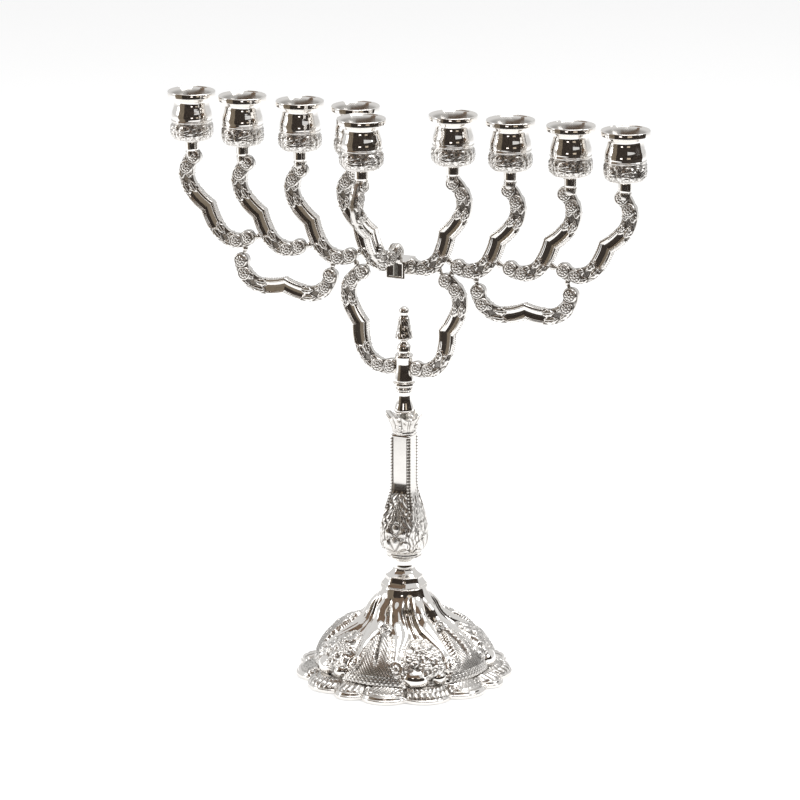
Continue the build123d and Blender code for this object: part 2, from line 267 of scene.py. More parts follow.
def rosette(x, y, radius, petals=8):
    """A low disc: a rim ring at 0.86 of the radius, petals |cos(n a / 2)| inside it, and a button."""
    r = np.hypot(x, y) / radius
    a = np.arctan2(y, x)
    disc = 0.85 * np.sqrt(np.clip(1 - r**4, 0, 1))
    ring = 0.34 * np.exp(-((r - 0.82) / 0.09) ** 2)
    petal = 0.4 * np.abs(np.cos(petals * a / 2)) * np.sin(np.pi * np.clip((r - 0.2) / 0.5, 0, 1))
    button = 0.55 * np.sqrt(np.clip(1 - (r / 0.24) ** 2, 0, 1))
    return np.where(r < 1, disc + np.maximum(np.maximum(ring, petal), button), -1.0)


def shell(x, y, radius, ribs=5, height=1.2):
    """A fan of ribs above the point (0, 0): |cos| of the angle from straight up, cut to a scalloped edge."""
    r = np.hypot(x, y) / radius
    a = np.arctan2(x, y)
    rib = np.abs(np.cos(ribs * a / 1.6))
    inside = (np.abs(a) < 1.5) & (r < 0.82 + 0.18 * rib)
    return np.where(inside, height * (0.35 + 0.65 * rib) * np.clip(1.6 * r, 0.2, 1), -1.0)


def leaf(along, across, length, width, veins=5, height=1.0):
    """A pointed leaf: a ridge that falls to its edge, cut by a midrib and by slanting veins."""
    t = np.clip(along / length, 0, 1)
    swell = np.sin(np.pi * np.clip(t, 0, 1) ** 0.75) ** 0.8
    edge = width * swell * (1 + 0.14 * np.cos(2 * np.pi * veins * t))
    inside = np.abs(across) / np.maximum(edge, 1e-6)
    blade = np.sqrt(np.clip(1 - inside**2, 0, 1)) * (0.55 + 0.45 * t)
    vein = 0.5 + 0.5 * np.cos(2 * np.pi * (veins * t - 0.9 * np.abs(across) / width))
    rib = np.exp(-(across / (0.1 * width)) ** 2)
    relief = height * blade * (0.82 + 0.18 * vein) - 0.3 * height * rib
    return np.where((along > 0) & (along < length) & (inside < 1), relief, -1.0)


def spiral(x, y, radius, turns=2.0, height=0.8):
    """A volute: a ridge along the spiral r = radius * (a / 2 pi) / turns, with an eye at its centre."""
    r = np.hypot(x, y) / radius
    a = np.arctan2(y, x) / (2 * np.pi)
    ridge = 0.5 + 0.5 * np.cos(2 * np.pi * (turns * r - a))
    eye = np.sqrt(np.clip(1 - (r / 0.22) ** 2, 0, 1))
    return np.where(r < 1, height * np.maximum(ridge ** 0.8 * (1 - 0.35 * r), eye), -1.0)


print("a 5 mm rose stands", round(float(rose(np.zeros(1), np.zeros(1), 5.0)[0]), 2), "mm high")

# %% [markdown]
# ## The arm casting
# Thirteen arms come from one pattern: a brace-shaped bar with a mirror-bright trough between two raised
# rims, a row of milgrain on each rim, and a run of leaves and roses to each end. A bevelled curve object
# could carry a plain section, but here the section changes all the way, so the surface is a grid: the
# distance along half of the bar by the place round its section. The other half is its mirror image.

# %% Centreline and section of the arm
half_chord = 33.75
flute_end = 16.5
kink_rise = 3.2
bow_depth = 15.7
knob_radius = 5.25
flute_half_width = 6.2
rows_per_half = 132
face_columns = 35
side_columns = 4


def half_centreline(rows):
    """From the kink to the knob's end: a parabola, a quarter ellipse, then a short straight run."""
    x_flute = np.linspace(0, flute_end, 200)
    y_flute = -bow_depth + kink_rise * (1 - x_flute / flute_end) ** 2
    turn = np.linspace(0, np.pi / 2, 300)[1:]
    x_bend = flute_end + (half_chord - flute_end) * np.sin(turn)
    y_bend = -bow_depth * np.cos(turn)
    y_knob = np.linspace(0, knob_radius, 60)[1:]
    x = np.concatenate([x_flute, x_bend, half_chord + 0 * y_knob])
    y = np.concatenate([y_flute, y_bend, y_knob])
    run = np.concatenate([[0], np.cumsum(np.hypot(np.diff(x), np.diff(y)))])
    s = np.linspace(0, run[-1], rows)
    return s, np.interp(s, run, x), np.interp(s, run, y)


run, path_x, path_y = half_centreline(rows_per_half)
knob_start = run[-1] - knob_radius
tangent = np.gradient(np.stack([path_x, path_y]), run, axis=1)
tangent = tangent / np.hypot(*tangent)
flute_run = float(np.interp(flute_end, path_x[:100], run[:100]))
knuckle_run = flute_run + 0.47 * (knob_start - flute_run)
print("half of the centreline is", round(float(run[-1]), 1), "mm")

# %% [markdown]
# The width swells at the knuckle and at the end knob and is nipped between them. At the kink the two
# halves meet in the mirror plane, so the section there is sheared until it lies in that plane.

# %% The arm's surface
def half_widths(s):
    """Half of the bar's width along it: flute, nipped neck, knuckle, nipped neck, round knob."""
    marks = [0, flute_run + 1, flute_run + 6, knuckle_run, knuckle_run + 6.2, knob_start - 1, knob_start]
    widths = [flute_half_width, 6.1, 5.5, 5.75, 4.6, 5.2, knob_radius]
    width = np.interp(s, marks, widths)
    beyond = np.clip(s - knob_start, 0, knob_radius)
    return np.minimum(width, np.sqrt(np.maximum(knob_radius**2 - beyond**2, 0)))


def arm_relief(s, a, x, y):
    """Height of the arm's face: the fluted section, or leaves and roses over a rounded ground."""
    trough = np.interp(np.abs(a), (0.61, 0.68, 0.72, 0.80, 0.84, 0.88, 0.94, 1.0),
                       (0, 1.25, 1.45, 1.45, 1.2, 1.25, 1.25, 0.5))
    trough = trough + 1.6 + 0.42 * np.minimum(np.abs(a) / 0.61, 1) ** 2
    ground = 2.4 * (1 - 0.28 * a**4)
    across = a * np.interp(s, run, widths)
    tip = flute_run - 3.6
    blades = np.maximum(leaf(s - tip, across - 2.5, 10.5, 2.6, 3, 1.2),
                        leaf(s - tip - 1.6, across + 2.5, 9.5, 2.7, 3, 1.2))
    second = [float(np.interp(knob_start - 9.4, run, path)) for path in (path_x, path_y)]
    discs = np.maximum(rosette(x - second[0], y - second[1], 4.9), rosette(x - half_chord, y, 5.1))
    sprigs = np.maximum(leaf(s - knuckle_run + 3.6, across - 2.8, 8.0, 2.4, 3, 0.9),
                        leaf(s - knuckle_run + 3.6, across + 2.8, 8.0, 2.4, 3, 0.9))
    motifs = np.maximum.reduce([blades, sprigs, 1.15 * discs])
    covered = smoothstep(flute_run - 1.2, flute_run + 0.2, s + 0.5 * np.abs(across))
    ornament = np.where(motifs > 0, 2.75 + motifs, ground)
    face = np.where(covered > 0.5, ornament, np.maximum(trough, np.where(blades > 0, 2.9 + blades, 0)))
    return np.minimum(face, arm_half_thickness), (covered < 0.5) & (blades <= 0)


arm_half_thickness = 4.22
widths = half_widths(run)
face_a = np.linspace(-1, 1, face_columns)
side_t = np.linspace(0, 1, side_columns + 2)[1:-1]


def arm_half():
    """Grid over the half arm: lateral offset times the normal, height times the plane's Z."""
    s, a = np.meshgrid(run, face_a, indexing="ij")
    normal = np.stack([-tangent[1], tangent[0]])
    shear = -normal[0, 0] / tangent[0, 0] * np.clip(1 - run / 7.0, 0, 1) ** 2
    direction = normal + tangent * shear
    width = widths[:, None]
    x = path_x[:, None] + a * width * direction[0][:, None]
    y = path_y[:, None] + a * width * direction[1][:, None]
    height, fluted = arm_relief(s, a, x, y)
    fade = np.clip(widths / knob_radius, 0, 1)[:, None] ** 0.35
    height = height * fade
    rim = height[:, -1:], height[:, :1]
    blocks = []
    for sign, edge, order in ((1, rim[0], 1), (-1, rim[1], -1)):
        side_a = sign * (1 + 0.03 * np.sin(np.pi * side_t))[None, :] + 0 * edge
        swing = edge * np.cos(np.pi * side_t)[None, :]
        side_x = path_x[:, None] + side_a * width * direction[0][:, None]
        side_y = path_y[:, None] + side_a * width * direction[1][:, None]
        blocks.append((np.stack([x, y, height], -1)[:, ::order] * (1, 1, order),
                       np.stack([side_x, side_y, swing * order], -1)))
    points = np.concatenate([blocks[0][0], blocks[0][1], blocks[1][0], blocks[1][1]], axis=1)
    face_tone = np.where(fluted, 1.0, hollow_tone(height))
    side_tone = np.full((rows_per_half, side_columns), 0.8)
    tone = np.concatenate([face_tone, side_tone, face_tone[:, ::-1], side_tone], axis=1)
    plain = np.where(fluted, 1.0, 0.35)
    side_plain = np.full((rows_per_half, side_columns), 0.7)
    polish = np.concatenate([plain, side_plain, plain[:, ::-1], side_plain], axis=1)
    return points, tone, polish


def whole_arm():
    """The half grid and its mirror image through x = 0, closed at both knobs, with milgrain on the rims."""
    points, tone, polish = arm_half()
    points[-1] = points[-1].mean(axis=0)
    both = np.concatenate([points[:0:-1] * (-1, 1, 1), points])
    tones = np.concatenate([tone[:0:-1], tone])
    polishes = np.concatenate([polish[:0:-1], polish])
    surface = shape(both.reshape(-1, 3), [grid_faces(*both.shape[:2])], tones.ravel(), polishes.ravel())
    at = np.arange(0.9, flute_run - 0.6, milgrain_pitch)
    rows = np.interp(at, run, np.arange(rows_per_half)).astype(int)
    rails = []
    for column in (0, face_columns - 1):
        rail = points[rows, column] * (1, 1, 0.72)
        rails += [rail * (x, 1, z) for x in (-1, 1) for z in (-1, 1)]
    return joined(surface, beads(np.concatenate(rails), milgrain_radius, 0.85))


milgrain_pitch = 1.35
milgrain_radius = 0.58
arm_shape = whole_arm()
print("one arm has", sum(len(f) for f in arm_shape["faces"]), "faces")

# %% [markdown]
# Each arm is the same shape in another frame: the origin halfway between its two end knobs, X along the
# line that joins them, and Z across the bar. The ends are the design's own driving dimensions.

# %% Place the thirteen arms
arm_feet = ((5.1, 291.7), (40.1, 293.9), (78.3, 296.6), (117.3, 299.3))
arm_tops = ((36.4, 351.6), (77.0, 350.4), (117.6, 351.6), (158.2, 352.6))
bracket_ends = ((55.1, 278.4), (122.2, 282.7))
main_ends = ((9.6, 219.4), (31.0, 283.2))
shamash_foot = np.array([0, -13.5, 304.2])
shamash_top_height = 356.4
seat_drop = 32.5
stud_radius = 4.65
sides = {"left": -1, "right": 1}


def arm_frame(foot, top):
    """Origin and axes of an arm: X from foot to top, Z = heading x up, Y = Z x X."""
    foot, top = np.asarray(foot, dtype=float), np.asarray(top, dtype=float)
    x_axis = (top - foot) / np.linalg.norm(top - foot)
    z_axis = np.cross([x_axis[0], x_axis[1], 0], [0, 0, 1])
    z_axis = z_axis / np.linalg.norm(z_axis)
    return (foot + top) / 2, x_axis, np.cross(z_axis, x_axis), z_axis


def seat_boss(centre, seat):
    """The short round boss on an arm's end that a cup's stud stands on."""
    profile = [(0, -6), (3.6, -6), (4.3, -4), (4.55, -1.2), (4.55, -0.4), (4.2, 0), (0, 0)]
    return lathe(profile, 28, (centre[0], centre[1], seat), 0.8, 0.8)


for word, side in sides.items():
    pairs = {f"candle_arm_{word}_{n}": ends for n, ends in enumerate(zip(arm_feet, arm_tops), start=1)}
    pairs[f"bracket_arm_{word}"] = bracket_ends
    pairs[f"main_arm_{word}"] = main_ends
    for node, ends in pairs.items():
        foot, top = [(side * reach, 0, height) for reach, height in ends]
        arm = placed(arm_shape, *arm_frame(foot, top))
        if node.startswith("candle_arm"):
            cup = sockets[f"candle_socket_{word}_{node[-1]}"]
            arm = joined(arm, seat_boss(cup, cup[2] - seat_drop))
        make_piece(f"{node}_casting", arm, cast_silver, node)

shamash_cup = sockets["candle_socket_shamash"]
shamash_top = (shamash_cup[0], shamash_cup[1], shamash_top_height)
pivot_top, pivot_low = shamash_foot[2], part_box("shamash_arm")[0][2] * 1000
pivot_boss = lathe([(0, pivot_top), (3.6, pivot_top), (4.4, pivot_top - 2.5), (stud_radius, pivot_low + 0.4),
                    (4.4, pivot_low), (0, pivot_low)], 28, (shamash_foot[0], shamash_foot[1], 0), 0.8, 0.8)
shamash_casting = joined(placed(arm_shape, *arm_frame(shamash_foot, shamash_top)), pivot_boss,
                         seat_boss(shamash_cup, shamash_cup[2] - seat_drop))
make_piece("shamash_arm_casting", shamash_casting, cast_silver, "shamash_arm")

# %% [markdown]
# ## The candle cups
# A cup is spun from sheet on the real lamp: a thin lip that flares, a waist, a belly, a bead ring, and a
# chased band of roses and leaves below it. A screw modifier would spin the profile too. Here the lathe grid
# is used, so that the band's relief can push each point out along the radius.

# %% Cup surface
cup_columns = 108
band_low, band_high = -33.4, -21.6


def band_relief(angle, height):
    """Six roses round the band with a pair of leaves and a small volute between each two."""
    middle = (band_low + band_high) / 2
    pitch = 2 * np.pi / 6
    turn = (angle + pitch / 2) % pitch - pitch / 2
    half = (angle) % pitch - pitch / 2
    x, gap = turn * 14.4, half * 14.4
    y = height - middle
    flowers = 1.25 * rose(x, y, 4.7, 7)
    sprays = np.maximum(leaf(y + 5.6, gap - 0.9 + 0.18 * y, 9.5, 1.9, 3, 1.0),
                        leaf(y + 5.0, gap + 2.6 - 0.25 * y, 7.5, 1.5, 3, 0.9))
    sprays = np.maximum(sprays, leaf(y + 5.0, gap - 3.2 + 0.3 * y, 7.0, 1.4, 3, 0.9))
    curls = spiral(gap, y - 3.7, 1.9, 1.5, 0.9)
    ground = 0.10 * np.sin(2.6 * x) * np.sin(2.9 * y)
    return np.maximum.reduce([flowers, sprays, curls, ground])


def cup_shape():
    """Outer profile from the foot's middle to the lip, then the inner one from the lip to the floor."""
    outer_low = [(0, -34.4), (8, -34.4), (11.6, -34.2)]
    band = curve([(12.4, -33.6), (13.5, -31.5), (13.95, -27.5), (13.9, -24.0), (13.6, -21.5)], 40)
    ring = [(13.7, -21.2), (14.2, -20.9), (14.35, -20.5), (14.2, -20.1), (13.75, -19.8)]
    belly = curve([(13.7, -19.6), (14.0, -17.6), (13.75, -15.2), (12.75, -11.8), (12.15, -9.0), (12.35, -6.8),
                   (13.7, -5.4), (15.4, -4.1), (16.2, -3.7)], 46)
    lip = [(16.4, -3.55), (16.52, -3.35), (16.54, -3.2), (16.55, -2.0), (16.55, -0.6), (16.5, -0.45),
           (16.3, -0.1), (16.0, 0.0), (15.7, -0.3), (15.55, -0.7)]
    inner = curve([(15.3, -0.9), (13.6, -3.0), (11.9, -5.8), (10.9, -8.4), (10.62, -9.6), (10.6, -12.0)], 26)
    floor = [(10.6, -20), (10.6, -30.2), (10.2, -31.1), (9.6, -31.3), (4.2, -31.3), (0, -31.3)]
    profile = np.concatenate([outer_low, band, ring, belly, lip, inner, floor])
    radius, height = profile[:, :1], profile[:, 1:]
    angle = around(cup_columns)[None, :]
    inside = (height > band_low) & (height < band_high) & (radius > 11)
    edge = smoothstep(band_low, band_low + 0.8, height) * smoothstep(-band_high, -band_high + 0.8, -height)
    relief = np.where(inside, band_relief(angle, height) * edge, 0)
    lobes = np.where(inside, 0, 0.05 * np.cos(5 * angle) * smoothstep(-6, 0, height) * (radius > 13))
    reach = radius + np.minimum(relief, 1.15) + lobes
    points = np.stack([reach * np.cos(angle), reach * np.sin(angle), height + 0 * angle], axis=-1)
    tone = np.where(inside, hollow_tone(relief, 2, 0.5), 1.0)
    # Painted shade: the inside of the cup is darkened below the lip, and further down in the socket.
    mouth_shade = smoothstep(-1.2, -3.2, height) * (np.arange(len(profile))[:, None] > len(profile) - 38)
    socket_shade = smoothstep(-8, -24, height) * (radius < 10.7)
    tone = tone * (1 - 0.62 * mouth_shade) * (1 - 0.3 * socket_shade)
    polish = np.where(inside, 0.4, 1.0) * (1 - 0.5 * socket_shade)
    polish = polish + 0 * angle
    return shape(points.reshape(-1, 3), [grid_faces(*reach.shape)], tone.ravel(), polish.ravel())


cup_pattern = cup_shape()
mount_drop = 9.5
for name, point in sockets.items():
    word = name.replace("candle_socket_", "")
    node = "shamash_cup" if word == "shamash" else f"cup_{word}"
    rim = point + (0, 0, mount_drop)
    turn = 0.37 * len(word) + 0.9 * rim[0]
    forward, sideways = (np.cos(turn), np.sin(turn), 0), (-np.sin(turn), np.cos(turn), 0)
    cup = placed(cup_pattern, rim, forward, sideways, (0, 0, 1))
    make_piece(f"{node}_spun", cup, cast_silver, node)
print("one cup has", len(cup_pattern["faces"][0]), "faces")

# %% [markdown]
# Each cup stands on a plain buffed stud. The nine studs are one profile: a straight barrel with its ends
# eased, because a real turning never has a razor edge.

# %% Studs under the cups
cup_drop = 34.4
for name, point in sockets.items():
    word = name.replace("candle_socket_", "")
    node = "shamash_cup_stud" if word == "shamash" else f"cup_stud_{word}"
    low, high = point[2] - seat_drop, point[2] + mount_drop - cup_drop
    profile = [(0, low), (4.3, low), (stud_radius, low + 0.35), (stud_radius, low + 2),
               (stud_radius, high - 2), (stud_radius, high - 0.3), (4.4, high), (0, high)]
    make_piece(f"{node}_barrel", lathe(profile, 48, (point[0], point[1], 0)), turned_silver, node)
print("studs:", len(sockets))

# %% [markdown]
# ## The centre column
# Everything on the axis is threaded on one tie rod. The vase, the discs, the hub and the finial are plain
# lathe work, so a profile each is enough. The finial's cone is cut with facets and rings of small nicks.

# %% Turned pieces of the column
def height_of(node, corner):
    """The height of a CAD node's lowest (0) or highest (1) point, in millimetres."""
    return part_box(node)[corner][2] * 1000


def turned(node, pieces, columns=72):
    """A lathe piece of several smooth runs, each a list of points or one sharp point, closed on the axis."""
    runs = [curve(p, 14) if len(p) > 2 else np.array(p, dtype=float) for p in pieces]
    profile = np.concatenate(runs)
    closed = np.concatenate([[(0, profile[0][1])], profile, [(0, profile[-1][1])]])
    return make_piece(f"{node}_turned", lathe(closed, columns), turned_silver, node)


def above(base, points):
    """Profile points of (radius, height) whose heights are counted from base."""
    return [(radius, base + height) for radius, height in points]


neck_runs = (((7.15, 0), (6.9, 0.6)),
             ((6.9, 0.8), (6.6, 3.5), (7.4, 6.6), (9.6, 8.2)),
             ((11.2, 8.5), (12.2, 8.8), (12.4, 9.2), (12.2, 9.7)))
vase_runs = (((6.2, 0), (6.4, 0.6)),
             ((6.7, 0.8), (7.0, 1.9), (6.5, 4.0), (5.5, 7.6), (5.12, 11.0), (5.2, 13.6), (5.5, 15.6)))
disc_runs = (((5.6, 0), (6.0, 0.3), (6.1, 1.0), (5.9, 1.9)),
             ((5.3, 2.2), (5.3, 2.7)),
             ((6.6, 3.1), (7.5, 3.5), (7.65, 4.6), (7.5, 5.7), (7.0, 6.0)))
for node, runs in (("neck_ring", neck_runs), ("vase_neck", vase_runs), ("bearing_disc", disc_runs)):
    turned(node, [above(height_of(node, 0), points) for points in runs])
hub_low, hub_high = height_of("hub", 0), height_of("hub", 1)
hub_waist = ((6.8, 0), (7.05, 0.3), (7.0, 1.4), (6.5, 4.2), (5.9, 9.0), (5.85, 12.2), (6.05, 15.0))
hub_top = above(hub_low, ((6.2, 15.4), (6.25, 15.7))) + above(hub_high, ((6.2, -0.4), (5.9, 0)))
turned("hub", [above(hub_low, hub_waist), hub_top])

# %% [markdown]
# The finial is one turning: a knob, a thin neck, a cone and a ball. The cone's cuts are a small ripple of
# its radius, n cosines round the cone times a sine up it.

# %% Finial
def finial_shape():
    """Lathe profile, with the cone's radius cut by twelve slanting facets."""
    low, high = height_of("finial", 0), height_of("finial", 1)
    knob = curve([(4.2, 0), (4.95, 1.6), (5.0, 3.6), (4.4, 6.0), (3.2, 7.5)], 20)
    neck = curve([(2.7, 8.2), (2.55, 8.8), (2.7, 9.4)], 6)
    cone = curve([(5.7, 10.6), (6.25, 11.3), (6.1, 12.4), (5.3, 17.0), (4.4, 22.0), (3.8, 25.2),
                  (3.3, 26.0)], 60)
    latitude = np.linspace(-0.45, np.pi / 2, 22)
    ball_centre = high - low - 3.65
    ball = np.stack([3.65 * np.cos(latitude), ball_centre + 3.65 * np.sin(latitude)], axis=1)
    profile = np.concatenate([[(0, 0)], knob, neck, cone, ball])
    radius, height = profile[:, :1], profile[:, 1:]
    angle = around(96)[None, :]
    on_cone = smoothstep(11.6, 12.6, height) * smoothstep(-25.2, -24.4, -height)
    slants = np.abs(np.sin(6 * angle + 0.35 * height)) ** 0.7
    facets = slants * np.abs(np.sin(np.pi * (height - 11.6) / 4.5)) ** 0.5
    cut = 0.32 * on_cone * (1 - facets)
    reach = radius - cut
    points = np.stack([reach * np.cos(angle), reach * np.sin(angle), height + low + 0 * angle], axis=-1)
    tone = 1 - 0.6 * np.clip(cut / 0.32, 0, 1) ** 2
    return shape(points.reshape(-1, 3), [grid_faces(*reach.shape)], tone.ravel())


make_piece("finial_turned", finial_shape(), turned_silver, "finial")

# %% [markdown]
# ## Four-sided stem and crown
# The stem is square from top to bottom but swells like a vase, with a row of beads down each arris and an
# acanthus spray on each face. The section is a square whose corners are eased: the distance from the axis
# at angle a is (|cos a|^n + |sin a|^n)^(-1/n), and a large n gives a sharper square.

# %% Stem surface
stem_columns = 224
stem_rows = 300


def squared(angle, power):
    """Radius of a unit square of eased corners: (|cos a|^n + |sin a|^n)^(-1/n)."""
    return (np.abs(np.cos(angle)) ** power + np.abs(np.sin(angle)) ** power) ** (-1 / power)


def stem_shape():
    """Half-side by height times the eased square, plus the sprays on the faces and beads on the arrises."""
    low, high = height_of("stem", 0), height_of("stem", 1)
    profile = np.concatenate([
        above(low, [(0, 0), (11.4, 0), (12.2, 0.5), (12.4, 1.2), (11.9, 1.9)]),
        curve(above(low, [(12.0, 2.2), (14.3, 5.2), (15.2, 9.8), (14.7, 15), (12.7, 24), (10.5, 33),
                          (8.6, 41), (7.5, 46.5), (7.12, 51), (7.08, 60), (7.08, 72)])
              + [(7.1, high - 1.2)], stem_rows),
        [(7.3, high), (0, high)]])
    side, height = profile[:, :1], profile[:, 1:]
    angle = around(stem_columns)[None, :]
    power = 2.2 + 5.5 * smoothstep(low + 3, low + 34, height)
    square = squared(angle, power)
    face_angle = (angle + np.pi / 4) % (np.pi / 2) - np.pi / 4
    x = side * np.tan(np.clip(face_angle, -0.75, 0.75))
    y = height - low
    spray = np.maximum.reduce([
        shell(x, y - 4.0, 11.5, 6, 1.35),
        shell(x, y - 15.5, 8.6, 5, 1.2),
        rose(x, y - 16.5, 3.4, 6),
        leaf(y - 13, x - 6.2 + 0.16 * (y - 13), 14, 2.7, 4, 1.2),
        leaf(y - 13, x + 6.2 - 0.16 * (y - 13), 14, 2.7, 4, 1.2),
        leaf(y - 23, x - 2.9 + 0.08 * (y - 23), 13, 2.3, 4, 1.1),
        leaf(y - 23, x + 2.9 - 0.08 * (y - 23), 13, 2.3, 4, 1.1),
        leaf(y - 25, x, 18, 2.0, 4, 1.15),
        spiral(x - 8.6, y - 9.0, 3.0, 1.5, 1.1),
        spiral(-x - 8.6, y - 9.0, 3.0, 1.5, 1.1)])
    covered = smoothstep(3.0, 4.5, y) * smoothstep(-47, -43, -y)
    weft = np.abs(np.sin(0.62 * y + 0.5 * np.abs(x)))
    ground = 0.75 * np.abs(np.sin(0.85 * x + 0.9 * np.sin(0.5 * y))) * weft
    spine = 0.55 * np.exp(-((np.pi / 4 - np.abs(face_angle)) * side * 1.3) ** 2) * smoothstep(4, 12, y)
    relief = np.where(spray > 0, spray, ground) * covered
    reach = side * square + np.maximum(relief, 0) * np.cos(face_angle) + spine * (y < 40)
    reach = np.minimum(reach, stem_limit * (side > 0) + 0 * angle)
    points = np.stack([reach * np.cos(angle), reach * np.sin(angle), height + 0 * angle], axis=-1)
    plain = covered + 0 * x < 0.5
    # Painted shade: the strip under the arris beads gets the darkest tone, so the gaps between beads read
    # dark.
    arris_shade_strip = (np.abs(x) > 0.7 * side) & (y > 34) & (y < 84.6)
    tone = np.where(arris_shade_strip, 0.0, np.where(plain, 0.84, hollow_tone(relief, 3, 0.45)))
    polish = np.where(plain & ~arris_shade_strip, 1.0, 0.35)
    surface = shape(points.reshape(-1, 3), [grid_faces(*reach.shape)], tone.ravel(), polish.ravel())
    at = np.arange(low + 33.5, high - 1.5, 2.15)
    half_side = np.interp(at, height[6:-2, 0], side[6:-2, 0])
    rails = []
    for quarter in range(4):
        for lean in (-1, 1):
            across, out = lean * half_side * 0.84, half_side + 0.12
            turn = quarter * np.pi / 2
            rails.append(np.stack([out * np.cos(turn) - across * np.sin(turn),
                                   out * np.sin(turn) + across * np.cos(turn), at], axis=1))
    return joined(surface, beads(np.concatenate(rails), 0.74, 1.0))


stem_limit = 17.0
make_piece("stem_casting", stem_shape(), cast_silver, "stem")

# %% [markdown]
# The crown's four leaves curl outwards over the faces, and the rim dips between them on the diagonals. A
# cosine of four times the angle gives both: it lifts and spreads the faces and lowers the corners.

# %% Crown of four leaves
def crown_shape():
    """Profile carried round, its upper rim spread and lifted by cos 4a, with a fan of veins on each leaf."""
    low, high = height_of("stem_crown", 0), height_of("stem_crown", 1)
    outer = curve([(7.6, 0), (8.3, 1.0), (8.2, 3.0), (8.7, 6.4), (10.0, 10.2), (11.7, 13.6),
                   (12.0, 14.7)], 60)
    inner = curve([(11.5, 14.9), (10.2, 13.4), (8.4, 11.6), (6.6, 11.0)], 16)
    profile = np.concatenate([[(0, 0)], outer, inner, [(0, 10.8)]])
    radius, height = profile[:, :1], profile[:, 1:]
    angle = around(192)[None, :]
    face = np.cos(4 * angle)
    upper = smoothstep(3.0, 13.0, height) * (radius > 7)
    face_angle = (angle + np.pi / 4) % (np.pi / 2) - np.pi / 4
    across = face_angle * 10
    fan = np.abs(np.cos(6.5 * face_angle)) ** 0.7
    veins = 0.9 * fan * smoothstep(2.0, 6.0, height) * (radius > 7.4)
    scallop = 0.8 * np.abs(np.cos(9 * face_angle)) * smoothstep(11, 14, height)
    reach = radius * (1 + upper * (0.11 * face - 0.03)) + veins + 0.2 * scallop
    lift = height - upper * (1.9 - 1.9 * face) + 0.3 * scallop * (face > 0)
    bloom = rose(across, height - 4.6, 3.3, 6)
    reach = reach + np.where((bloom > 0) & (radius > 7.4), bloom, 0)
    reach = np.minimum(reach, 13.2 * (radius > 0) + 0 * angle)
    lift = np.clip(lift, 0, high - low)
    points = np.stack([reach * np.cos(angle), reach * np.sin(angle), lift + low], axis=-1)
    tone = hollow_tone(reach + 0 * angle, 3, 0.5)
    return shape(points.reshape(-1, 3), [grid_faces(*reach.shape)], tone.ravel(), 0.5)


make_piece("stem_crown_casting", crown_shape(), cast_silver, "stem_crown")

# %% [markdown]
# ## Octagonal collar
# Two tiers of eight concave facets, with a flat step between them. A cylinder of eight sides would do for
# one tier. As a lathe grid with eight columns and no smoothing the whole collar is one closed surface.

# %% Collar
def faceted(profile, corners, first_angle):
    """A lathe grid whose columns are the corners of a polygon, split so that each facet stays flat across."""
    angle = np.radians(first_angle) + np.arange(corners) * 2 * np.pi / corners
    profile = np.asarray(profile, dtype=float)
    points = np.stack([profile[:, :1] * np.cos(angle), profile[:, :1] * np.sin(angle),
                       profile[:, 1:] + 0 * angle], axis=-1)
    following = np.roll(points, -1, axis=1)
    share = np.linspace(0, 1, facet_columns, endpoint=False)[None, None, :, None]
    woven = points[:, :, None] * (1 - share) + following[:, :, None] * share
    woven = woven.reshape(len(profile), -1, 3)
    return shape(woven.reshape(-1, 3), [grid_faces(*woven.shape[:2])])


facet_columns = 6
collar_low, collar_high = height_of("octagonal_collar", 0), height_of("octagonal_collar", 1)
collar_profile = np.concatenate([
    above(collar_low, [(0, 0), (15.9, 0), (16.2, 0.3), (16.1, 0.8)]),
    curve(above(collar_low, [(15.9, 1.0), (14.6, 2.8), (13.5, 5.2), (13.1, 6.4)]), 10),
    above(collar_low, [(13.0, 6.9), (12.0, 7.1), (11.6, 7.3)]),
    curve(above(collar_low, [(11.2, 7.6), (9.3, 9.2), (8.1, 10.8)]) + [(7.6, collar_high - 0.4)], 12),
    [(7.4, collar_high), (0, collar_high)]])
make_piece("octagonal_collar_casting", faceted(collar_profile, 8, 22.5), turned_silver, "octagonal_collar")

# %% [markdown]
# ## The foot
# The foot is one rococo casting. Five bouquets, each in a pointed cartouche above a bowl-like scroll, take
# turns with five panels of feathering, and a polished tongue runs down each side of every panel into a
# volute. Sculpting would do it once. Here the plain hollow-sided profile is carried round, and each point
# then moves out along the profile's normal by a height, read in millimetres across (w) and up (t) its
# own fifth.

# %% The foot's outline and its profile
fifth = 2 * np.pi / 5
bouquet_angle = np.radians(-51.5)
lobe_edges = np.radians([-137, -110, -92, -65, -38, -10.5, 7, 34, 52, 79, 106, 124, 151, 178,
                         196, 223])
lobe_kinds = np.array([0, 1, 2, 0, 2, 1, 0, 1, 2, 0, 1, 2, 0, 1, 2])
gadrooned, shell_like = 0, 1    # any other kind is a plain woven lobe
cusp_radius = 68.2
lobe_rise = 7.0
foot_columns = 435


def lobe_of(angle):
    """Which lobe an angle falls in, and how far across it as a number from 0 to 1."""
    turned_angle = (angle - lobe_edges[0]) % (2 * np.pi) + lobe_edges[0]
    number = np.clip(np.searchsorted(lobe_edges, turned_angle, side="right") - 1, 0, len(lobe_kinds) - 1)
    across = (turned_angle - lobe_edges[number]) / (lobe_edges[number + 1] - lobe_edges[number])
    return lobe_kinds[number], across


def foot_edge(angle):
    """The flange's outline: the cusp radius plus lobe_rise * sin(pi s)^0.7 across each lobe."""
    across = lobe_of(angle)[1]
    return cusp_radius + lobe_rise * np.sin(np.pi * np.clip(across, 0, 1)) ** 0.7


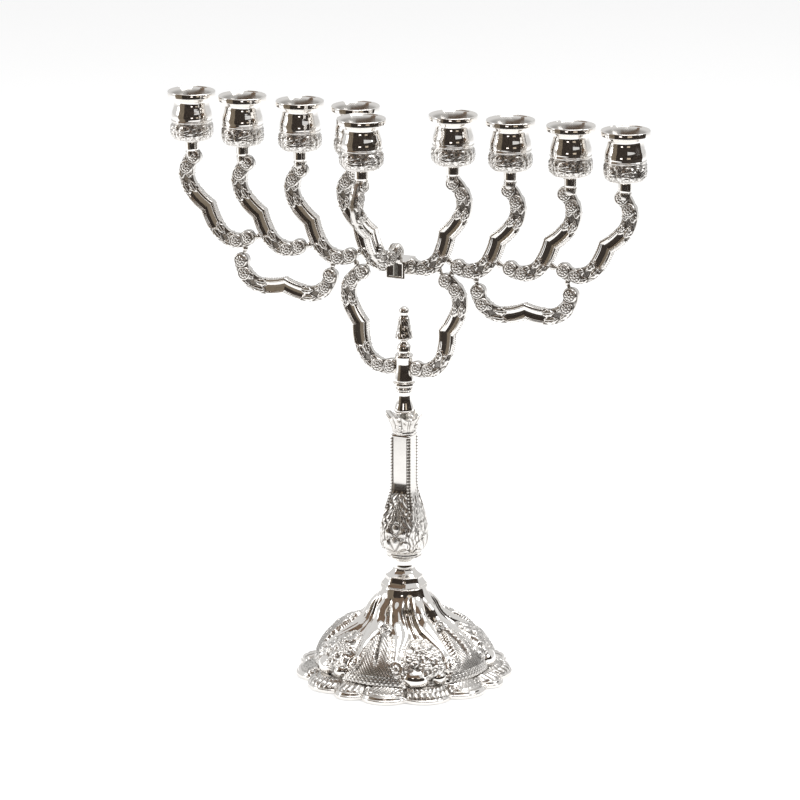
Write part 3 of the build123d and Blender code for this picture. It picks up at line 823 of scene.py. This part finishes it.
# %% Relief of the dome
def dome_relief(angle, r, t):
    """Height over the dome at each point, and a mask that is 1 where the casting is left smooth."""
    swirl = np.radians(-8) * smoothstep(36, 62, t)
    psi = (angle - bouquet_angle - swirl + fifth / 2) % fifth - fifth / 2
    pan = (angle - bouquet_angle - swirl) % fifth - fifth / 2
    w, wp, half = psi * r, pan * r, fifth / 2 * r
    band_at = np.interp(t, (0, 8, 15, 25, 34, 42, 50, 66), (15, 16, 15.5, 12.5, 8.0, 4.4, 3.6, 3.2))
    leaf_half = np.interp(t, (0, 6, 9, 14, 24, 32, 38, 42.5, 44),
                          (21.5, 20.5, 14, 10.5, 8.8, 6.4, 3.6, 0.8, 0.0))
    leaf_lift = np.interp(t, (0, 8, 16, 26, 34, 40, 44), (2.0, 2.8, 3.8, 5.2, 5.4, 4.4, 1.0))
    bunch_lift = np.interp(t, (0, 6, 14, 26, 34, 38), (0.5, 2.0, 3.2, 3.6, 1.6, 0.4))
    inner, outer = np.abs(w) - band_at, half - leaf_half - band_at
    share = np.clip(inner / np.maximum(outer, 0.5), 0, 1)
    lift = smoothstep(5, 12, t) * smoothstep(-70, -56, -t)
    tongue = 3.8 * np.sin(np.pi * share) ** 0.7 * lift
    band = 1.9 * np.exp(-(inner / 1.2) ** 2) * smoothstep(6, 14, t) * smoothstep(-71, -60, -t)
    rib = 2.0 * np.exp(-(w / 1.35) ** 2) * smoothstep(33, 42, t) * smoothstep(-71, -60, -t)
    smooth_part = np.where(inner > 0, tongue, 0) + band + rib
    turn_x, turn_y = np.abs(w) - band_at - 4.3, t - 13.0
    volute = np.where(np.hypot(turn_x, turn_y) < 5.4, 2.6 + spiral(turn_x, turn_y, 5.4, 1.7, 1.9), -1)
    cartouche = (inner < -1.3) & (t < 37)
    roses = [(0, 22, 5.6, 7), (-7.8, 18, 4.8, 6), (7.6, 19.5, 4.9, 6), (0.5, 13.2, 4.2, 6),
             (-3.4, 29.4, 3.6, 5), (4.2, 28.8, 3.4, 5), (9.8, 12.4, 3.6, 5), (-10.4, 11.8, 3.4, 5)]
    flowers = np.maximum.reduce([1.7 * rose(w - x, t - y, size, n, 0.3 * x) for x, y, size, n in roses])
    sprig_kinds = ((27, 1.5, 0.28, 9, 2.0, 3, 1.6), (12, 9.5, 0.1, 13, 2.2, 4, 1.5))
    sprigs = np.maximum.reduce([leaf(t - start, w - side * (off + lean * (t - start)), *form)
                                for start, off, lean, *form in sprig_kinds for side in (-1, 1)])
    bouquet = bunch_lift + np.where(flowers > 0, 0.9 + flowers, np.where(sprigs > 0, 0.5 + sprigs, 0))
    bouquet = np.where(cartouche & (t > 9), bouquet, np.where(cartouche, 0.5, -1))
    bowl = np.maximum(6.0 * np.sqrt(np.clip(1 - ((w + 6.5) / 9.5) ** 2 - ((t - 6.2) / 6.4) ** 2, 0, 1)),
                      4.6 * np.sqrt(np.clip(1 - ((w - 9.8) / 5.4) ** 2 - ((t - 6.0) / 4.8) ** 2, 0, 1)))
    scrolls = np.maximum(spiral(w - 1.0, t - 9.0, 4.0, 1.6, 2.0) + 4.2,
                         spiral(w - 6.4, t - 10.0, 2.8, 1.5, 1.6) + 4.0)
    scrolls = np.where(scrolls > 3.9, scrolls, -1)
    inside_leaf = np.abs(wp) < leaf_half
    crown = np.sqrt(np.clip(1 - (wp / np.maximum(leaf_half, 0.3)) ** 2, 0, 1))
    hatch = 1.1 * (0.5 + 0.5 * np.cos(2 * np.pi * (t + 1.3 * wp) / 2.8))
    streak = -3.0 * np.exp(-((wp + 2.2 - 0.12 * (40 - t)) / 1.2) ** 2) * smoothstep(12, 20, t)
    border = 1.0 * np.exp(-((leaf_half - np.abs(wp) - 1.0) / 0.9) ** 2)
    feather = np.where(inside_leaf, leaf_lift * (0.45 + 0.55 * crown) + hatch + streak + border, -1)
    weave = 0.7 * np.abs(np.sin(np.pi * (wp + t) / 3.0)) * np.abs(np.sin(np.pi * (wp - t) / 3.0))
    feather = np.where(inside_leaf & (t < 6.5), leaf_lift * (0.45 + 0.55 * crown) + weave, feather)
    curl = np.where(np.hypot(wp, t - 43.0) < 3.8, 3.8 + spiral(wp, t - 43.0, 3.8, 1.4, 1.8), -1)
    height = np.maximum.reduce([smooth_part, volute, bouquet, np.where(bowl > 0, bowl, -1), scrolls, curl])
    height = np.where(inside_leaf & (curl < 0), np.maximum(feather, band), height)
    left_smooth = (height <= smooth_part + 1e-6) | ((bowl > 0.2) & (height <= bowl + 1e-6))
    return height * smoothstep(0, 1.8, t) * smoothstep(-76, -70, -t), left_smooth


def flange_relief(angle, inward):
    """Height over the flange by the distance inward from its edge, and a mask of the smooth places."""
    kind, across = lobe_of(angle)
    inward = inward + 0 * angle
    roll = 1.5 * np.exp(-((inward - 1.7) / 1.15) ** 2)
    arch = np.sin(np.pi * np.clip(inward / 7.0, 0, 1)) ** 0.5
    flutes = 2.4 * np.abs(np.sin(np.pi * 8 * across)) ** 0.6 * arch
    pearls = 1.6 * np.abs(np.sin(np.pi * 10 * across)) ** 0.8 * np.exp(-((inward - 9.2) / 1.3) ** 2)
    fan = 1.4 * np.abs(np.cos(np.pi * 5 * across)) * smoothstep(2.5, 5, inward) * smoothstep(-13, -9, -inward)
    arc = across * (lobe_edges[3] - lobe_edges[2]) * 68
    centre = 0.5 * (lobe_edges[3] - lobe_edges[2]) * 68
    weave = 0.9 * (0.5 + 0.5 * np.sin(np.pi * arc / 1.3) * np.sin(np.pi * inward / 1.5))
    woven = weave * smoothstep(3.6, 4.6, inward) * smoothstep(-10.5, -9, -np.abs(arc - centre))
    curls = np.maximum(spiral(arc - centre + 11.2, inward - 6.4, 3.8, 1.6, 2.0),
                       spiral(arc - centre - 11.2, inward - 6.4, 3.8, 1.6, 2.0))
    height = np.where(kind == gadrooned, np.maximum(flutes, pearls),
                      np.where(kind == shell_like, np.maximum(roll, fan),
                               np.maximum.reduce([roll, woven, curls])))
    pillow = 2.4 * np.sin(np.pi * np.clip(across, 0, 1)) ** 0.6 * smoothstep(0, 6, inward)
    height = height * smoothstep(0, 0.06, across) * smoothstep(-1, -0.94, -across) + pillow
    return height, (kind != gadrooned) & (inward < 3.2)


# %% The foot as one closed grid
def foot_shape():
    """Rows from the recess underneath, round the flange's edge, up the dome and over the top ring."""
    angle = around(foot_columns)[None, :]
    edge = foot_edge(angle)
    one = np.ones_like(angle)
    top_radius, top_height = 16.2, height_of("foot", 1)
    under = [(0 * one, 1.7 * one), (60.3 * one, 1.7 * one), (60.5 * one, 0.05 * one), (edge - 1.0, 0.0 * one),
             (edge - 0.25, 0.25 * one), (edge - 0.05, 0.8 * one), (edge - 0.45, 1.35 * one),
             (edge, 1.9 * one), (edge - 0.1, 2.5 * one), (edge - 0.6, 2.9 * one)]
    under_r, under_z = (np.concatenate(rows) for rows in zip(*under))
    share = np.linspace(0, 1, 36)[:, None]
    inner_radius = 60.2
    flange_r = (edge - 1.0) * (1 - share) + inner_radius * share
    lift, flange_smooth = flange_relief(angle, edge - flange_r)
    flange_z = 2.95 + lift * smoothstep(0, 0.06, share) * smoothstep(-1, -0.86, -share) + 4.6 * share**2
    dome = curve([(60.1, 7.6), (59.8, 9.6), (58.0, 14), (54.0, 20.5), (47.0, 27), (39, 32.4), (31.5, 37.2),
                  (26, 41.7), (22.6, 47), (20.2, 53), (17.6, 59.5), (top_radius, top_height - 0.4)], 176)
    run_up = np.concatenate([[0], np.cumsum(np.hypot(*np.diff(dome, axis=0).T))])[:, None]
    along = np.gradient(dome, axis=0)
    along = along / np.hypot(*along.T)[:, None]
    raised, dome_smooth = dome_relief(angle, dome[:, :1], run_up)
    dome_r = dome[:, :1] + raised * along[:, 1:]
    dome_z = dome[:, 1:] - raised * along[:, :1]
    over = [(top_radius - 0.5, top_height), (0, top_height)]
    over_r, over_z = (np.array([row[k] for row in over])[:, None] * one for k in (0, 1))
    r = np.concatenate([under_r, flange_r, dome_r, over_r])
    z = np.concatenate([under_z, flange_z, dome_z, over_z])
    points = np.stack([r * np.cos(angle), r * np.sin(angle), z], axis=-1)
    smooth_rows = np.concatenate([np.ones_like(under_r), flange_smooth, dome_smooth, np.ones_like(over_r)])
    relief = np.concatenate([0 * under_r, lift, raised, 0 * over_r])
    tone = np.where(smooth_rows > 0.5, 1.0, hollow_tone(relief, 2, 0.9))
    polish = np.where(smooth_rows > 0.5, 1.0, 0.35)
    return shape(points.reshape(-1, 3), [grid_faces(*r.shape)], tone.ravel(), polish.ravel())


foot = make_piece("foot_casting", foot_shape(), cast_silver, "foot")
print("the foot has", len(foot.data.polygons), "faces")

# %% [markdown]
# ## The block, the link pins and the steel parts
# The centre block is a small plain block with eased edges: bmesh makes the box and bevels it. The links
# between the castings are pins whose ends are hidden, so only a bright round bead shows in each gap.

# %% Centre block
def block_piece():
    """The CAD block's own box, bevelled with three segments, its front cut by a shallow square panel."""
    low, high = (np.array(corner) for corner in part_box("centre_block"))
    mesh = bpy.data.meshes.new("centre_block_milled")
    work = bmesh.new()
    bmesh.ops.create_cube(work, size=1.0)
    bmesh.ops.scale(work, verts=work.verts, vec=high - low)
    bmesh.ops.translate(work, verts=work.verts, vec=(low + high) / 2)
    front = min(work.faces, key=lambda face: face.calc_center_median().y)
    bmesh.ops.inset_region(work, faces=[front], thickness=0.0022)
    bmesh.ops.inset_region(work, faces=[front], thickness=0.0006, depth=-0.0005)
    bmesh.ops.bevel(work, geom=[e for e in work.edges if e.is_convex], offset=0.0007, segments=3, profile=0.6,
                    affect="EDGES")
    work.to_mesh(mesh)
    work.free()
    for key in ("tone", "polish"):
        layer = mesh.attributes.new(key, "FLOAT", "POINT")
        layer.data.foreach_set("value", np.ones(len(mesh.vertices), dtype=np.float32))
    mesh.materials.append(turned_silver)
    piece = bpy.data.objects.new("centre_block_milled", mesh)
    bpy.context.scene.collection.objects.link(piece)
    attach(piece, body_of["centre_block"])
    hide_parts("centre_block")
    return piece


block_piece()

# %% Beads on the links between castings
def arm_point(foot, top, along, up):
    """A point of an arm's own frame, measured from the middle between its two ends."""
    origin, x_axis, y_axis, _ = arm_frame((foot[0], 0, foot[1]), (top[0], 0, top[1]))
    return origin + along * x_axis + up * y_axis


def link_middles():
    """The middle of each link on the right side: halfway between the two places that it joins."""
    flat = [np.array([reach, 0, height]) for reach, height in (*arm_feet, *bracket_ends, *main_ends)]
    bends = [arm_point(f, t, -16.5, -15.5) for f, t in zip(arm_feet, arm_tops)]
    knuckles = [arm_point(f, t, -28.0, -10.0) for f, t in zip(arm_feet, arm_tops)]
    pairs = [(flat[1], bends[0]), (flat[2], bends[1]), (flat[3], bends[2]), (flat[4], knuckles[1]),
             (flat[5], flat[3]), (flat[7], flat[1]), (flat[7], (bends[0] + knuckles[0]) / 2)]
    return [(first + second) / 2 for first, second in pairs]


middles = np.array(link_middles())
link_beads = beads(np.concatenate([middles, middles * (-1, 1, 1)]), 2.7, 0.9)
bead_piece = make_piece("link_beads", link_beads, turned_silver, "link_pins", hides=False)
bead_piece.modifiers.new("round", "SUBSURF").levels = 2
bead_piece.modifiers["round"].render_levels = 2
print("link beads:", 2 * len(middles))

# %% Finish of every CAD node that stays in view
def steel(name, colour, rough, scale_mm):
    """Plain steel: a fine noise moves the roughness and a faint bump gives the drawn or blanked surface."""
    material = bpy.data.materials.new(name)
    material.use_nodes = True
    tree = material.node_tree
    shader = tree.nodes["Principled BSDF"]
    shader.inputs["Metallic"].default_value = 1.0
    place = add_node(tree, "ShaderNodeTexCoord").outputs["Object"]
    noise = add_node(tree, "ShaderNodeTexNoise", {"Vector": place, "Scale": 1000 / scale_mm, "Detail": 4.0})
    dim = tuple(0.7 * c for c in linear(colour)[:3]) + (1.0,)
    tint = add_node(tree, "ShaderNodeMix", {0: noise.outputs["Fac"], 6: dim, 7: linear(colour)},
                    data_type="RGBA")
    roughness = add_node(tree, "ShaderNodeMapRange", {"Value": noise.outputs["Fac"], "To Min": rough - 0.08,
                                                      "To Max": rough + 0.12})
    bump = add_node(tree, "ShaderNodeBump", {"Height": noise.outputs["Fac"], "Strength": 0.3,
                                             "Distance": 0.00003})
    for key, output in (("Base Color", tint.outputs[2]), ("Roughness", roughness.outputs["Result"]),
                        ("Normal", bump.outputs["Normal"])):
        tree.links.new(output, shader.inputs[key])
    return material


zinc_steel = steel("zinc plated steel hardware", "#b9b7b0", 0.3, 1.2)
sheet_steel = steel("blanked steel sheet", "#8f8c86", 0.45, 2.5)
bright_pin = steel("silvered pins", "#efece6", 0.14, 1.5)
cad_finish = {"base_plate": sheet_steel, "link_pins": bright_pin}
for node, obj in frame["nodes"].items():
    finish = cad_finish.get(node, zinc_steel)
    obj.data.materials.clear()
    obj.data.materials.append(finish)
print("finishes given to", len(frame["nodes"]), "CAD nodes")

# %% [markdown]
# ## Floor, light and camera
# Polished silver shows only its surroundings, so the light is a tent: a pale sweep underneath and soft panels
# above and beside. Six brown sheets, most of them towards the viewer, draw the dark lines in every trough,
# and two small glowing ones paint window highlights. Only reflections see these eight: they are hidden from
# the camera, light nothing matt and cast no shadow. They stay behind when the model leaves, so it looks
# plainer under another light.

# %% Floor
def stage_sheet(name, corners, material):
    """A single flat quad."""
    mesh = bpy.data.meshes.new(name)
    mesh.from_pydata(corners, [], [tuple(range(len(corners)))])
    mesh.materials.append(material)
    sheet = bpy.data.objects.new(name, mesh)
    bpy.context.scene.collection.objects.link(sheet)
    return sheet


def matt(name, colour):
    """A matt surface of one even colour, a little mottled so that it is not dead flat."""
    material = bpy.data.materials.new(name)
    material.use_nodes = True
    tree = material.node_tree
    shader = tree.nodes["Principled BSDF"]
    shader.inputs["Roughness"].default_value = 0.9
    place = add_node(tree, "ShaderNodeTexCoord").outputs["Object"]
    noise = add_node(tree, "ShaderNodeTexNoise", {"Vector": place, "Scale": 3.0})
    near = tuple(0.985 * c for c in linear(colour)[:3]) + (1.0,)
    tint = add_node(tree, "ShaderNodeMix", {0: noise.outputs["Fac"], 6: near, 7: linear(colour)},
                    data_type="RGBA")
    tree.links.new(tint.outputs[2], shader.inputs["Base Color"])
    return material


def glowing(name, colour, strength):
    """A sheet that gives out light of one colour."""
    material = matt(name, colour)
    shader = material.node_tree.nodes["Principled BSDF"]
    shader.inputs["Emission Color"].default_value = linear(colour)
    shader.inputs["Emission Strength"].default_value = strength
    return material


white_paper = glowing("lit white sweep", "#f7f7f7", 0.16)
dark_room = matt("dark brown room", "#2a2119")
dim_room = matt("dim brown room", "#6f6455")
grey_room = matt("brown upper room", "#6a5848")
highlight_glow = glowing("bright window", "#fff6f0", 1.3)
dim_highlight_glow = glowing("dim window", "#a89c8c", 0.5)
floor = stage_sheet("floor", [(-6, -6, 0), (6, -6, 0), (6, 9, 0), (-6, 9, 0)], white_paper)

# %% Camera and lights
view_turn = np.radians(24.02)
view_distance, view_height, view_side = 3.011, 1.0257, -0.0028
ahead = np.array([-np.sin(view_turn), np.cos(view_turn), 0])
rightward = np.array([np.cos(view_turn), np.sin(view_turn), 0])
camera_data = bpy.data.cameras.new("camera")
camera_data.lens, camera_data.sensor_width = 205.1, 36.0
camera = bpy.data.objects.new("camera", camera_data)
camera.location = -ahead * view_distance + rightward * view_side + np.array([0, 0, view_height])
camera.rotation_euler = (np.radians(90 - 15.41), 0, view_turn)
bpy.context.scene.collection.objects.link(camera)
bpy.context.scene.camera = camera


def sector(name, low, high, first, last, material, columns=24):
    """A sheet bent round the lamp, from one (radius, height) to another, between two angles."""
    turn = np.radians(np.linspace(first, last, columns + 1))
    toward = -np.cos(turn)[:, None] * ahead + np.sin(turn)[:, None] * rightward
    rows = [toward * radius + (0, 0, height) for radius, height in (low, high)]
    mesh = bpy.data.meshes.new(name)
    mesh.from_pydata(np.concatenate(rows).tolist(), [], grid_faces(2, columns + 1, wrap=False).tolist())
    mesh.materials.append(material)
    sheet = bpy.data.objects.new(name, mesh)
    bpy.context.scene.collection.objects.link(sheet)
    sheet.visible_camera = sheet.visible_diffuse = sheet.visible_shadow = False
    return sheet


sector("room_floor", (0.62, 0.003), (1.7, 0.003), -62, 100, dark_room)
sector("room_wall_left", (1.7, 0.003), (1.7, 1.5), -62, 14, dark_room)
sector("room_wall_right", (1.7, 0.003), (1.7, 0.95), 14, 100, dark_room)
sector("room_side", (0.66, 0.0035), (1.65, 0.0035), -84, -50, dim_room)
sector("room_side_wall", (1.65, 0.003), (1.65, 1.3), -84, -50, dim_room)
sector("room_upper", (1.72, 1.2), (1.15, 2.1), -100, 40, grey_room)
# Painted highlights: these two glowing sheets are seen only in reflections, as window glints on the silver.
sector("window", (0.62, 0.31), (0.62, 0.4), -16, -4, highlight_glow, 4)
sector("window_far", (0.66, 0.3), (0.66, 0.42), 18, 34, dim_highlight_glow, 4)


def panel(name, place, size, power):
    """A soft square light that faces the lamp."""
    data = bpy.data.lights.new(name, "AREA")
    data.shape, data.size, data.size_y, data.energy = "RECTANGLE", size[0], size[1], power
    light = bpy.data.objects.new(name, data)
    light.location = place
    direction = np.array([0, 0, 0.2]) - np.array(place)
    light.rotation_euler = (np.arctan2(np.hypot(direction[0], direction[1]), -direction[2]), 0,
                            np.arctan2(direction[1], direction[0]) - np.pi / 2)
    bpy.context.scene.collection.objects.link(light)
    return light


panel("light_top", (0.2, 0.2, 2.2), (1.3, 1.3), 20)
panel("light_left", (-1.9, -1.0, 1.1), (0.9, 1.3), 14)
panel("light_right", (2.0, 0.3, 1.2), (0.8, 1.3), 12)
world = bpy.data.worlds.new("tent")
world.use_nodes = True
world.node_tree.nodes["Background"].inputs["Color"].default_value = linear("#f4f4f4")
world.node_tree.nodes["Background"].inputs["Strength"].default_value = 0.82
bpy.context.scene.world = world
bpy.context.scene.view_settings.view_transform = "Standard"
print("camera at", np.round(np.array(camera.location), 3))
